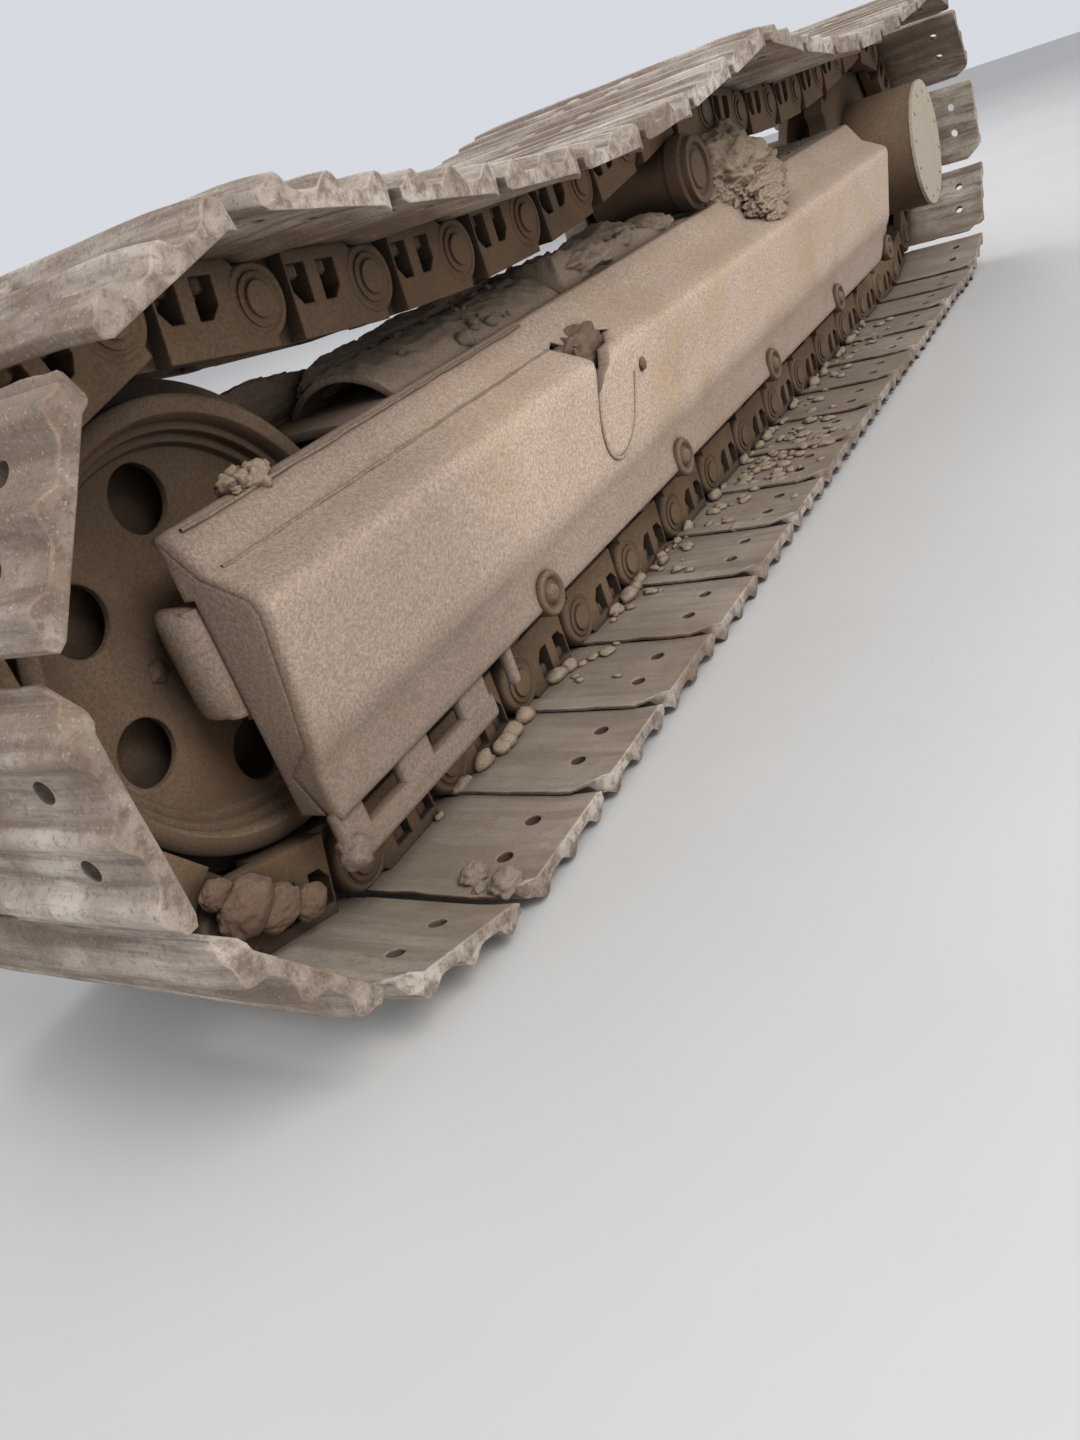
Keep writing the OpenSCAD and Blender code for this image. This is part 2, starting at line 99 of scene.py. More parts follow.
class Mat:
    """A small helper for node materials on object coordinates."""

    def __init__(self, name):
        self.material = bpy.data.materials.new(name)
        self.material.use_nodes = True
        self.tree = self.material.node_tree
        self.tree.nodes.clear()
        self.shader = self.node("BsdfPrincipled")
        self.put(self.node("OutputMaterial").inputs[0], self.shader.outputs[0])
        self.place = self.node("TexCoord").outputs["Object"]

    def put(self, socket, value):
        """Links a socket to another, or sets its value."""
        if isinstance(value, bpy.types.NodeSocket):
            self.tree.links.new(value, socket)
        else:
            socket.default_value = value

    def node(self, kind, **inputs):
        n = self.tree.nodes.new("ShaderNode" + kind)
        for key, value in inputs.items():
            self.put(n.inputs[key], value)
        return n

    def noise(self, scale, detail=5.0, rough=0.6, warp=0.0, stretch=None):
        place = self.node("Mapping", Vector=self.place, Scale=stretch).outputs[0] if stretch else self.place
        return self.node("TexNoise", Vector=place, Scale=scale, Detail=detail, Roughness=rough,
                         Distortion=warp).outputs["Fac"]

    def ramp(self, fac, *stops):
        """Two stops of (position, grey or colour)."""
        n = self.node("ValToRGB")
        for element, (position, value) in zip(n.color_ramp.elements, stops):
            element.position = position
            element.color = value if isinstance(value, tuple) else (value, value, value, 1)
        self.put(n.inputs[0], fac)
        return n.outputs[0]

    def mix(self, fac, a, b):
        n = self.node("Mix")
        n.data_type = "RGBA"
        for socket, value in (("Factor", fac), (6, a), (7, b)):
            self.put(n.inputs[socket], value)
        return n.outputs[2]

    def lay(self, under, over, fac, start, end):
        """Lays one colour over another, as strongly as the stops say at fac."""
        return self.mix(self.ramp(fac, start, end), under, over)

    def math(self, op, a, b):
        n = self.node("Math")
        n.operation = op
        self.put(n.inputs[0], a)
        self.put(n.inputs[1], b)
        return n.outputs[0]

    def plus(self, a, b, share):
        return self.math("ADD", a, self.math("MULTIPLY", b, share))

    def normal_z(self):
        return self.node("SeparateXYZ", Vector=self.node("NewGeometry").outputs["Normal"]).outputs["Z"]

    def along(self, axis):
        return self.node("SeparateXYZ", Vector=self.place).outputs[axis]

    def soft(self, radius):
        """Normals rounded over the edges."""
        n = self.node("Bevel", Radius=radius)
        n.samples = BEVEL_SAMPLES
        return n.outputs[0]

    def edges(self, radius):
        """Nought on a flat face, and more towards sharp edges."""
        n = self.node("VectorMath")
        n.operation = "DOT_PRODUCT"
        self.put(n.inputs[0], self.soft(radius))
        self.put(n.inputs[1], self.node("NewGeometry").outputs["Normal"])
        return self.math("SUBTRACT", 1.0, n.outputs["Value"])

    def open_air(self, distance):
        """One in the open, and less in hollows."""
        n = self.node("AmbientOcclusion", Distance=distance)
        n.samples = AO_SAMPLES
        return n.outputs["AO"]

    def bump(self, height, strength, depth, after=None):
        n = self.node("Bump", Strength=strength, Distance=depth, Height=height)
        if after is not None:
            self.put(n.inputs["Normal"], after)
        return n.outputs[0]

    def done(self, color, rough, metal=0.0, normal=None):
        for key, value in (("Base Color", color), ("Roughness", rough), ("Metallic", metal)):
            self.put(self.shader.inputs[key], value)
        if normal is not None:
            self.put(self.shader.inputs["Normal"], normal)
        return self.material


# The tone that darkens the frame towards the bottom, towards the front as painted shade, and on faces that
# point up
DARKENING_TONE = lin(70, 55, 44)


def dusty(name, under, rust, dust, amount=0.5, top=0.35, rough=0.85, scale=1.0, soft=0.0, hollow_shade_and_dirt=None,
          dent=0.0, low=None):
    """Old paint, cast steel or soil: patches of rust under dry, grainy dust.

    amount: how much dust there is; top: how much more of it lies on what faces up
    scale: how fine the grain is; soft: the radius of rounded edges; dent: how deep the dents are
    hollow_shade_and_dirt: the colour of dirt and painted shade in hollows, laid on by ambient occlusion, and
    its reach
    low: for the frame, the heights between which it turns darker towards the bottom; it also darkens the
    front, as painted shade, and faces that point up
    """
    m = Mat(name)
    big = m.noise(3.5 * scale, 4, 0.6, 0.4)
    mid = m.noise(16 * scale, 6, 0.65, 0.3)
    fine = m.noise(300 * scale, 5, 0.8)
    speck = m.noise(700 * scale, 2, 0.7)
    cover = m.plus(m.plus(m.math("MULTIPLY", big, 0.9), mid, 0.5), m.normal_z(), top)
    grit = m.lay(darker(dust, 0.56), dust, fine, (0.40, 0.0), (0.60, 1.0))
    col = m.lay(under, rust, mid, (0.46, 0.0), (0.66, 1.0))
    col = m.lay(col, grit, cover, (0.62 - 0.35 * amount, 0.0), (1.05 - 0.35 * amount, 1.0))
    col = m.lay(col, darker(dust, 0.45), speck, (0.54, 0.0), (0.66, 0.8))
    # Painted shade and dirt: the hollow colour is laid where ambient occlusion finds hollows
    if hollow_shade_and_dirt:
        col = m.lay(col, hollow_shade_and_dirt[0], m.open_air(hollow_shade_and_dirt[1]), (0.45, 0.85), (0.93, 0.0))
    if low:
        # Darker towards the bottom
        col = m.lay(col, DARKENING_TONE, m.plus(m.along("Z"), mid, 0.03), (low[0], 0.46), (low[1], 0.0))
        # Painted shade: darker towards the front
        col = m.lay(col, DARKENING_TONE, m.plus(m.along("X"), big, 0.1), (0.80, 0.0), (0.98, 0.34))
        # Darker on faces that point up
        col = m.lay(col, DARKENING_TONE, m.normal_z(), (0.15, 0.0), (0.65, 0.24))
    normal = m.soft(soft) if soft else None
    if dent:
        normal = m.bump(m.noise(6, 2, 0.5), 0.5, dent, normal)
    return m.done(col, rough, 0.0, m.bump(m.plus(mid, fine, 0.35), 0.5, 0.002, normal))


def worn_steel(name):
    """The shoes: bright worn ridges, brown dirt and painted shade in the hollows, rust, dust on what lies on
    the ground, and sharp edges lightened as wear and painted highlight.
    """
    m = Mat(name)
    big = m.noise(5, 4, 0.6, 0.3)
    mid = m.noise(34, 6, 0.75, 0.2)
    fine = m.noise(210, 4, 0.7)
    speck = m.noise(430, 2, 0.6)
    streak = m.noise(11, 6, 0.65, 0.2, (5.0, 0.45, 5.0))
    col = m.lay(lin(192, 181, 169), lin(130, 113, 98), big, (0.38, 0.0), (0.60, 1.0))
    col = m.lay(col, lin(104, 86, 72), streak, (0.44, 0.0), (0.60, 0.8))
    col = m.lay(col, lin(122, 92, 70), mid, (0.54, 0.0), (0.78, 0.6))
    col = m.lay(col, lin(88, 70, 57), fine, (0.52, 0.0), (0.66, 0.5))
    col = m.lay(col, lin(222, 212, 202), speck, (0.60, 0.0), (0.74, 0.3))
    # Painted shade and dirt: darker brown where ambient occlusion finds the valleys
    valley_shade_and_dirt = m.plus(m.open_air(0.022), m.math("SUBTRACT", mid, 0.5), 0.4)
    col = m.lay(col, lin(78, 62, 50), valley_shade_and_dirt, (0.52, 0.95), (0.95, 0.0))
    lying = m.math("MULTIPLY", m.ramp(m.normal_z(), (0.3, 0.0), (0.8, 0.8)),
                   m.ramp(m.along("Z"), (0.05, 1.0), (0.12, 0.0)))
    col = m.mix(m.math("MULTIPLY", lying, m.ramp(mid, (0.30, 1.0), (0.70, 0.55))), col, lin(150, 137, 123))
    # Sharp edges lightened: partly worn bare steel, partly a painted highlight
    rim = m.lay(lin(208, 196, 183), lin(170, 140, 115), big, (0.42, 0.0), (0.56, 1.0))
    edge = m.math("MULTIPLY", m.ramp(m.edges(0.003), (0.01, 0.0), (0.10, 1.0)),
                  m.ramp(mid, (0.38, 0.1), (0.6, 0.9)))
    col = m.mix(edge, col, rim)
    normal = m.bump(m.noise(11, 3, 0.55), 0.5, 0.004, m.soft(0.003))
    return m.done(col, 0.62, 0.12, m.bump(m.plus(mid, fine, 0.3), 0.6, 0.0024, normal))


# What lies under, the rust, the dust, and what dusty() is told besides
DUSTY = {
    "frame_paint": ((180, 150, 108), (124, 97, 76), (216, 191, 171),
                    dict(amount=0.97, top=0.0, soft=0.007, hollow_shade_and_dirt=(lin(96, 80, 66), 0.05), dent=0.010,
                         low=(0.19, 0.25))),
    # frame_dirt also colours the dark beads along the cover plate's edges: partly dirty welds, partly a
    # painted shade line
    "frame_dirt": ((112, 92, 74), (84, 66, 52), (150, 130, 112), {}),
    "cast_steel": ((94, 69, 48), (68, 50, 38), (140, 116, 92),
                   dict(amount=0.26, soft=0.003, hollow_shade_and_dirt=(lin(38, 29, 23), 0.045))),
    "chain_steel": ((112, 84, 56), (68, 50, 37), (140, 115, 89),
                    dict(amount=0.38, soft=0.004, hollow_shade_and_dirt=(lin(40, 30, 23), 0.035))),
    "bare_steel": ((96, 84, 72), (80, 58, 42), (150, 128, 104), dict(amount=0.45, soft=0.002)),
    "cover_paint": ((186, 170, 148), (132, 106, 84), (200, 186, 166), dict(amount=0.9, soft=0.003)),
    "soil": ((126, 106, 88), (94, 77, 63), (176, 156, 134),
             dict(amount=0.6, top=0.4, rough=0.97, scale=1.6, hollow_shade_and_dirt=(lin(84, 69, 57), 0.012))),
    "red_soil": ((100, 76, 60), (80, 60, 48), (138, 114, 94),
                 dict(amount=0.3, top=0.2, rough=0.97, scale=2.2, hollow_shade_and_dirt=(lin(62, 50, 41), 0.015))),
    "stone": ((132, 118, 103), (102, 88, 75), (150, 134, 117), dict(top=0.3, rough=0.9, scale=3.0)),
}
M = {name: dusty(name, lin(*under), lin(*rust), lin(*dust), **more)
     for name, (under, rust, dust, more) in DUSTY.items()}
M["shoe_steel"] = worn_steel("shoe_steel")
slots = {s["node"]: s["material_slot"] for s in frame["record"]["subparts"]}
for o in list(bpy.data.objects):
    if o.name in slots:
        o.data.materials.clear()
        o.data.materials.append(M[slots[o.name]])


# ---------------------------------------------------------------- places, from the CAD nodes
def middle(node):
    low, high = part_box(node)
    return [(p + q) / 2 for p, q in zip(low, high)]


XI, _, ZI = middle("idler_wheel")
XS, _, ZS = middle("drive_drum")
XC, _, _ = middle("carrier_roller")
ROLLERS = [(middle("track_roller_%d" % i)[0], middle("track_roller_%d" % i)[2]) for i in range(1, 6)]

# The path of the chain's pins, worked out as in the part's source: ground, idler, span, hump, span, sprocket
PITCH, COUNT, TEETH, PIN_Z, PIN_HEIGHT = 0.154, 38, 19, 0.058, 0.034
RAIL, IDLER_RIM_R, IDLER_GAP, CARRIER_RAIL_Z = 0.039, 0.185, 0.005, 0.493
FRONT_DIP, HUMP_DIP, REAR_DIP = math.radians(11.5), math.radians(12.5), math.radians(7.5)
SPAN, FIRST_PIN, HUMP_R, HUMP_SHARE, HUMP_RISE = XI - XS, 1.1 * PITCH, 0.2, 0.507, 0.009
SPROCKET_R = PITCH / 2 / math.sin(math.radians(360 / TEETH))
IDLER_R = math.hypot(IDLER_RIM_R + IDLER_GAP + RAIL, PITCH / 2)
HUMP_X, HUMP_TOP = HUMP_SHARE * SPAN, CARRIER_RAIL_Z + RAIL + HUMP_RISE
HUMP_END_Z = HUMP_TOP - HUMP_R * (1 - math.cos(HUMP_DIP))
# The spans' ends, each (x, z, slope)
ENDS = [(SPAN - IDLER_R * math.sin(FRONT_DIP), ZI + IDLER_R * math.cos(FRONT_DIP), math.tan(FRONT_DIP)),
        (HUMP_X + HUMP_R * math.sin(HUMP_DIP), HUMP_END_Z, -math.tan(HUMP_DIP)),
        (HUMP_X - HUMP_R * math.sin(HUMP_DIP), HUMP_END_Z, math.tan(HUMP_DIP)),
        (SPROCKET_R * math.sin(REAR_DIP), ZS + SPROCKET_R * math.cos(REAR_DIP), -math.tan(REAR_DIP))]
LENGTHS = [SPAN - FIRST_PIN, IDLER_R * (math.pi + FRONT_DIP), ENDS[0][0] - ENDS[1][0], HUMP_R * 2 * HUMP_DIP,
           ENDS[2][0] - ENDS[3][0], SPROCKET_R * (math.pi + REAR_DIP)]
STARTS = [sum(LENGTHS[:i]) for i in range(7)]


def cubic(a, b, t):
    """A point at share t of the span between two ends."""
    dx = b[0] - a[0]
    return (a[0] + dx * t, (1 + 2 * t) * (1 - t) ** 2 * a[1] + t * (1 - t) ** 2 * dx * a[2]
            + t * t * (3 - 2 * t) * b[1] - t * t * (1 - t) * dx * b[2])


def arc(cx, cz, r, a):
    return (cx + r * math.cos(a), cz + r * math.sin(a))


def path_at(s):
    """The point of the path at distance s, measured from the sprocket's centre."""
    q = STARTS
    if s < q[1]:
        return (FIRST_PIN + s, PIN_Z)
    if s < q[2]:
        return arc(SPAN, ZI, IDLER_R, -math.pi / 2 + (s - q[1]) / IDLER_R)
    if s < q[3]:
        return cubic(ENDS[0], ENDS[1], (s - q[2]) / LENGTHS[2])
    if s < q[4]:
        return arc(HUMP_X, HUMP_TOP - HUMP_R, HUMP_R, math.pi / 2 - HUMP_DIP + (s - q[3]) / HUMP_R)
    if s < q[5]:
        return cubic(ENDS[2], ENDS[3], (s - q[4]) / LENGTHS[4])
    if s < q[6]:
        return arc(0, ZS, SPROCKET_R, math.pi / 2 - REAR_DIP + (s - q[5]) / SPROCKET_R)
    return (s - q[6], PIN_Z)


def next_stop(s):
    """Where the next pin lies: one pitch away in a straight line, found by halving."""
    a = path_at(s)
    low, high = s + 0.8 * PITCH, s + 1.3 * PITCH
    for _ in range(30):
        m = (low + high) / 2
        c = path_at(m)
        if math.hypot(c[0] - a[0], c[1] - a[1]) < PITCH:
            low = m
        else:
            high = m
    return low


def shift(x, y, z):
    return Matrix.Translation((x, y, z))


stops = [0.0]
while len(stops) < COUNT:
    stops.append(next_stop(stops[-1]))
pins = [path_at(s) for s in stops]
# The place of each link: its middle between two pins, its x along the chain
LINKS = [shift(XS + (a[0] + b[0]) / 2, 0, (a[1] + b[1]) / 2)
         @ Matrix.Rotation(-math.atan2(b[1] - a[1], b[0] - a[0]), 4, "Y")
         for a, b in zip(pins, pins[1:] + pins[:1])]


# ---------------------------------------------------------------- helpers for meshes
FOLD = 40   # degrees: an edge that bends more is drawn sharp


def mesh_of(bm, name):
    me = bpy.data.meshes.new(name)
    bmesh.ops.recalc_face_normals(bm, faces=bm.faces)
    bm.to_mesh(me)
    bm.free()
    return me


def piece(name, bm, look, body="frame", smooth=True, bevel=0.0, sharp=None):
    """A piece of the visual model: look names its material."""
    me = mesh_of(bm, name)
    o = add(name, me)
    for f in me.polygons:
        f.use_smooth = smooth
    me.materials.append(M[look])
    if sharp:
        me.set_sharp_from_angle(angle=math.radians(sharp))
    if bevel:
        md = o.modifiers.new("bevel", "BEVEL")
        md.width, md.segments, md.limit_method = bevel, 2, "ANGLE"
    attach(o, body)
    return o


def cut(o, tool):
    """Takes a closed form out of a piece's mesh."""
    cutter = add("cutter", mesh_of(tool, "cutter"))
    md = o.modifiers.new("cut", "BOOLEAN")
    md.operation, md.solver, md.object = "DIFFERENCE", "EXACT", cutter
    fresh = bpy.data.meshes.new_from_object(o.evaluated_get(bpy.context.evaluated_depsgraph_get()))
    o.modifiers.clear()
    o.data = fresh
    bpy.data.objects.remove(cutter)
    fresh.set_sharp_from_angle(angle=math.radians(FOLD))


def skin(bm, rings, caps=True, closed=False):
    """Faces between rings of points; closed joins the last ring to the first, and caps fill both ends."""
    n = len(rings[0])
    for a, b in zip(rings, rings[1:] + (rings[:1] if closed else [])):
        for i in range(n):
            bm.faces.new((a[i], a[(i + 1) % n], b[(i + 1) % n], b[i]))
    if caps:
        bm.faces.new(rings[0][::-1])
        bm.faces.new(rings[-1])


def turned(bm, profile, n, place, phase=0.0):
    """A turned form with n sides: profile of (radius, height) about local z, placed by a matrix."""
    turns = [(math.cos(TAU * i / n + phase), math.sin(TAU * i / n + phase)) for i in range(n)]
    skin(bm, [[bm.verts.new(place @ Vector((r * c, r * s, h))) for c, s in turns] for r, h in profile])


def prism(bm, pts, a, b, axis="y"):
    """A flat outline of (x, z) drawn along Y, or of (x, y) drawn along Z."""
    at = (lambda p, t: (p[0], t, p[1])) if axis == "y" else (lambda p, t: (p[0], p[1], t))
    skin(bm, [[bm.verts.new(at(p, t)) for p in pts] for t in (a, b)])


def slab(bm, x0, x1, y0, y1, z0, z1):
    prism(bm, [(x0, z0), (x1, z0), (x1, z1), (x0, z1)], y0, y1)


def disc(cx, cz, r, n=24, phase=0.0):
    turns = [TAU * i / n + phase for i in range(n)]
    return [(cx + r * math.cos(a), cz + r * math.sin(a)) for a in turns]


def stamp(bm, src, place):
    """A copy of a mesh, placed by a matrix."""
    src.verts.index_update()
    vs = [bm.verts.new(place @ v.co) for v in src.verts]
    for f in src.faces:
        bm.faces.new([vs[v.index] for v in f.verts])


def side(y, x, z, out=1):
    """Local z along +Y or -Y, at a place on a wall."""
    return shift(x, y, z) @ Matrix.Rotation(math.radians(-90 if out > 0 else 90), 4, "X")


def wob(x, y, z, f=1.0):
    """Noise from -1 to 1; f is how fine it is."""
    return noise.noise(Vector((x * f, y * f, z * f)))


def lump(bm, c, r, amp=0.25, sub=4, seed=0.0, freq=1.0, flat=None):
    """A clod or stone at c with half-axes r, pushed in and out by amp; flat is a height that it rests on."""
    ball = bmesh.new()
    bmesh.ops.create_icosphere(ball, subdivisions=sub, radius=1.0)
    vs = {}
    for v in ball.verts:
        p = v.co
        n = noise.noise(p * 1.6 * freq + Vector((seed, seed * 2, 0))) \
            + 0.5 * noise.noise(p * 4.3 * freq + Vector((0, seed, seed)))
        n += 0.25 * noise.noise(p * 11 * freq + Vector((seed, 0, seed))) \
            + 0.12 * noise.noise(p * 31 * freq + Vector((seed, seed, 0)))
        q = p * (1 + amp * n)
        w = Vector((c[0] + q.x * r[0], c[1] + q.y * r[1], c[2] + q.z * r[2]))
        if flat is not None:
            w.z = max(w.z, flat)
        vs[v.index] = bm.verts.new(w)
    for f in ball.faces:
        bm.faces.new([vs[v.index] for v in f.verts])
    ball.free()


# ---------------------------------------------------------------- nuts, bolts, caps and plugs
# Turned profiles of (radius, height)
NUT = [(0.0125, 0.0), (0.0132, 0.003), (0.0132, 0.010), (0.0105, 0.0125), (0.006, 0.0125), (0.0055, 0.0165)]
BOLT_HEAD = [(0.0125, 0.0), (0.0125, -0.006), (0.0105, -0.009), (0.004, -0.0095)]
SHAFT_CAP = [(0.024, -0.012), (0.024, 0.002), (0.0225, 0.004), (0.018, 0.0045), (0.016, 0.001),
             (0.011, 0.001), (0.009, 0.006), (0.005, 0.007)]
COVER_BOLT = [(0.0065, -0.002), (0.0065, 0.002), (0.005, 0.003), (0.0015, 0.003)]
WEB_PLUG = [(0.011, -0.002), (0.011, 0.002), (0.007, 0.0035), (0.003, 0.0055)]
WALL_PLUG = [(0.008, -0.004), (0.008, 0.002), (0.006, 0.004), (0.002, 0.0045)]
BOLT_Y, NUT_X, NUT_Z, HEAD_X, HEAD_Z = 0.0415, (-0.020, 0.020), -0.0232, (-0.0275, 0.0255), -0.0458
CAP_Y, COVER_Y, COVER_BOLTS, COVER_BOLT_R, WEB_Y = 0.1320, 0.167, 12, 0.104, 0.0115

# Worn nuts inside the links' windows and bolt heads on the shoes
nuts, heads = bmesh.new(), bmesh.new()
for link in LINKS:
    for y in (-BOLT_Y, BOLT_Y):
        for x in NUT_X:
            loose = shift(random.uniform(-0.001, 0.001), 0, 0)
            turned(nuts, NUT, 6, link @ loose @ shift(x, y, NUT_Z), random.random())
        for x in HEAD_X:
            turned(heads, BOLT_HEAD, 6, link @ shift(x, y, HEAD_Z), random.random())
piece("link_nuts", nuts, "chain_steel", smooth=False)
piece("shoe_bolt_heads", heads, "shoe_steel", smooth=False)

# Caps on the roller shafts' ends
bm = bmesh.new()
for x, z in ROLLERS:
    for out in (1, -1):
        turned(bm, SHAFT_CAP, 28, side(out * CAP_Y, x, z, out))
piece("roller_shaft_caps", bm, "cast_steel")

# Bolts round the drive's cover
bm = bmesh.new()
for x, z in disc(0, 0, COVER_BOLT_R, COVER_BOLTS, math.radians(12)):
    turned(bm, COVER_BOLT, 6, side(COVER_Y, XS + x, ZS + z))
piece("cover_bolts", bm, "cover_paint", smooth=False)

# The plug on the idler's web
bm = bmesh.new()
turned(bm, WEB_PLUG, 5, side(WEB_Y, XI + 0.056, ZI - 0.008), 0.4)
piece("idler_plug", bm, "cast_steel", body="idler", smooth=False)


# ---------------------------------------------------------------- soil on the roof
ROOF_Z, ARCH_X, ARCH_Z, ARCH_R = 0.393, XI - 0.640, 0.335, 0.090
SOIL_NX, SOIL_NY, SOIL_W = 620, 64, 0.147
SOIL_X0, SOIL_X1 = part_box("frame_roof")[0][0] + 0.016, XI - 0.284
SINK, LEAST, UNDER_ROLLER, UNDER_DEPTH = 0.002, 0.002, 0.085, 0.004
# Heaps before the arch: depth, middle and reach in x, how rough, and how fine the roughness is
HEAPS = ((0.036, ARCH_X, 0.14, 0.2, 2), (0.020, 0.22, 0.13, 0.5, 2))


def ripple(x, y):
    v = 0.0
    for f, g in ((9, 0.5), (23, 0.28), (61, 0.14), (140, 0.07)):
        v += g * math.sin(f * x + 1.7 * math.sin(f * 0.7 * y + f)) \
            * math.cos(f * y * 1.1 + 2.1 * math.sin(f * 0.6 * x))
    return v


def roof_z(x, y):
    """The roof's height: flat, and arched over the fork's root."""
    return ROOF_Z if x < ARCH_X else ARCH_Z + math.sqrt(ARCH_R ** 2 - y ** 2)


def soil_depth(x, y):
    """Thin on the arch, heaped before it and round the carrier roller, and thin under that roller."""
    if x < ARCH_X:
        h = 0.004 + 0.004 * ripple(x, y) + 0.003 * wob(x * 90, y * 90, 0) + 0.0016 * wob(x * 260, y * 260, 4)
        for depth, at, reach, rough, fine in HEAPS:
            h += depth * math.exp(-((x - at) / reach) ** 2) * (1 + rough * ripple(x * fine, y * fine))
        h += 0.062 * math.exp(-((x + 0.19) / 0.15) ** 2 - ((y - 0.02) / 0.06) ** 2) \
            * (1 + 0.3 * ripple(x * 3, y * 3))
    else:
        h = 0.0025 + 0.004 * ripple(x * 2, y * 2) + 0.004 * wob(x * 70, y * 70, 2)
    return min(h, UNDER_DEPTH) if abs(x - XC) < UNDER_ROLLER else h


def soil_point(i, j):
    """A point of the soil's grid; the soil thins out to nothing at the rim."""
    x, y = SOIL_X0 + (SOIL_X1 - SOIL_X0) * i / SOIL_NX, -SOIL_W / 2 + SOIL_W * j / SOIL_NY
    rim = min(1.0, (j + 0.3) / 3, (SOIL_NY - j + 0.3) / 3, (i + 0.3) / 4, (SOIL_NX - i + 0.3) / 4)
    return x, y, roof_z(x, y) - SINK + max(0.0, soil_depth(x, y)) * rim + LEAST * rim


bm = bmesh.new()
grid = [[bm.verts.new(soil_point(i, j)) for j in range(SOIL_NY + 1)] for i in range(SOIL_NX + 1)]
SOIL_TOP = [[v.co.z for v in row] for row in grid]
for i in range(SOIL_NX):
    for j in range(SOIL_NY):
        bm.faces.new((grid[i][j], grid[i + 1][j], grid[i + 1][j + 1], grid[i][j + 1]))
piece("roof_soil", bm, "soil")


def soil_top(x, y):
    i = min(SOIL_NX, max(0, round((x - SOIL_X0) / (SOIL_X1 - SOIL_X0) * SOIL_NX)))
    return SOIL_TOP[i][min(SOIL_NY, max(0, round((y + SOIL_W / 2) / SOIL_W * SOIL_NY)))]


# ---------------------------------------------------------------- shoes and links
# Worn shoes, each a little different: low rounded waves, chipped lips, bent corners
SHOE_W, SHOE_T, WAVE, WAVE_FOOT = 0.45, 0.012, 0.012, 0.035
SECTION = [(-0.073, -SHOE_T + 0.002), (-0.073, -0.003), (-0.066, 0), (-0.03, 0), (0.01, 0), (0.056, 0),
           (0.067, 0.005), (0.078, 0.005), (0.088, 0.005), (0.088, 0.0014), (0.077, 0.0014)]
for at in (0.053, -0.001, -0.055):
    for q in (0.5 - i / 8 for i in range(9)):
        SECTION.append((at + q * WAVE_FOOT, -SHOE_T - WAVE * (0.5 + 0.5 * math.cos(TAU * q)) ** 0.85))
LIP_X, SHOE_ROWS, SHOE_KINDS = 0.08, 36, 6
PAD_HOLE_R, PAD_HOLE_X, PAD_HOLE_Y = 0.008, 0.0275, 0.173
# Outlines of (x, y) for the outer side: the notch for the next link, and the clipped corner
NOTCH = [(-0.08, 0.020), (-0.064, 0.020), (-0.064, 0.063), (-0.08, 0.063)]
CORNER = [(0.062, 0.23), (0.062, 0.225), (0.070, 0.219), (0.095, 0.186), (0.095, 0.23)]


def shoe_kind(kind):
    bm = bmesh.new()
    bend = [random.uniform(0, 0.005), random.uniform(0, 0.005)]
    rows = []
    for j in range(SHOE_ROWS + 1):
        y = -SHOE_W / 2 + SHOE_W * j / SHOE_ROWS
        out = max(0.0, (abs(y) - 0.17) / 0.055)
        row = []
        for x, z in SECTION:
            n, low = wob(x * 30, y * 18, kind * 7.3), abs(wob(x * 9, y * 7, kind * 3.1 + 9))
            dx = -0.004 * max(0.0, wob(kind * 5.7, y * 30, 1.3)) if x > LIP_X else 0.0
            dz = bend[0 if y < 0 else 1] * out * out
            if z < -SHOE_T - 0.001:
                dz += 0.0004 + 0.0014 * low + 0.0005 * n
            elif z >= 0:
                dz += 0.0007 * n
            row.append(bm.verts.new((x + dx, y, z + dz)))
        rows.append(row)
    skin(bm, rows)
    o = add("shoe_kind", mesh_of(bm, "shoe"))
    tool = bmesh.new()
    for m in (-1, 1):
        for x in (-PAD_HOLE_X, PAD_HOLE_X):
            prism(tool, disc(x, m * PAD_HOLE_Y, PAD_HOLE_R), -0.06, 0.02, "z")
        for outline in (NOTCH, CORNER):
            prism(tool, [(x, m * y) for x, y in outline], -0.06, 0.02, "z")
    cut(o, tool)
    src = bmesh.new()
    src.from_mesh(o.data)
    bpy.data.objects.remove(o)
    return src


kinds = [shoe_kind(k) for k in range(SHOE_KINDS)]
bm = bmesh.new()
for k, link in enumerate(LINKS):
    stamp(bm, kinds[(k * 5 + k // 7) % SHOE_KINDS], link @ shift(0, 0, -PIN_HEIGHT))
for src in kinds:
    src.free()
o = piece("worn_shoes", bm, "shoe_steel", sharp=FOLD)
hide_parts("shoes")

# Rounded bosses round the pins on the outer plates of the links
BOSS = [(0.020, 0.0430), (0.034, 0.0430), (0.0345, 0.0545), (0.0325, 0.0585), (0.0295, 0.0602),
        (0.0265, 0.0598), (0.0245, 0.0575), (0.0180, 0.0575)]
BOSS_LOW = -0.0284
boss = bmesh.new()
for out in (1, -1):
    turned(boss, BOSS, 36, side(0, PITCH / 2, 0, out))
for v in boss.verts:
    v.co.z = max(v.co.z, BOSS_LOW)
bm = bmesh.new()
for link in LINKS:
    stamp(bm, boss, link)
boss.free()
piece("link_bosses", bm, "chain_steel", sharp=50)


# ---------------------------------------------------------------- side frame
# The outer wall as it is now: softened folds, a faint lower crease, a cover plate on the slope, dents
WALL_X0, WALL_X1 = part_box("frame_side_outer")[0][0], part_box("frame_side_outer")[1][0]
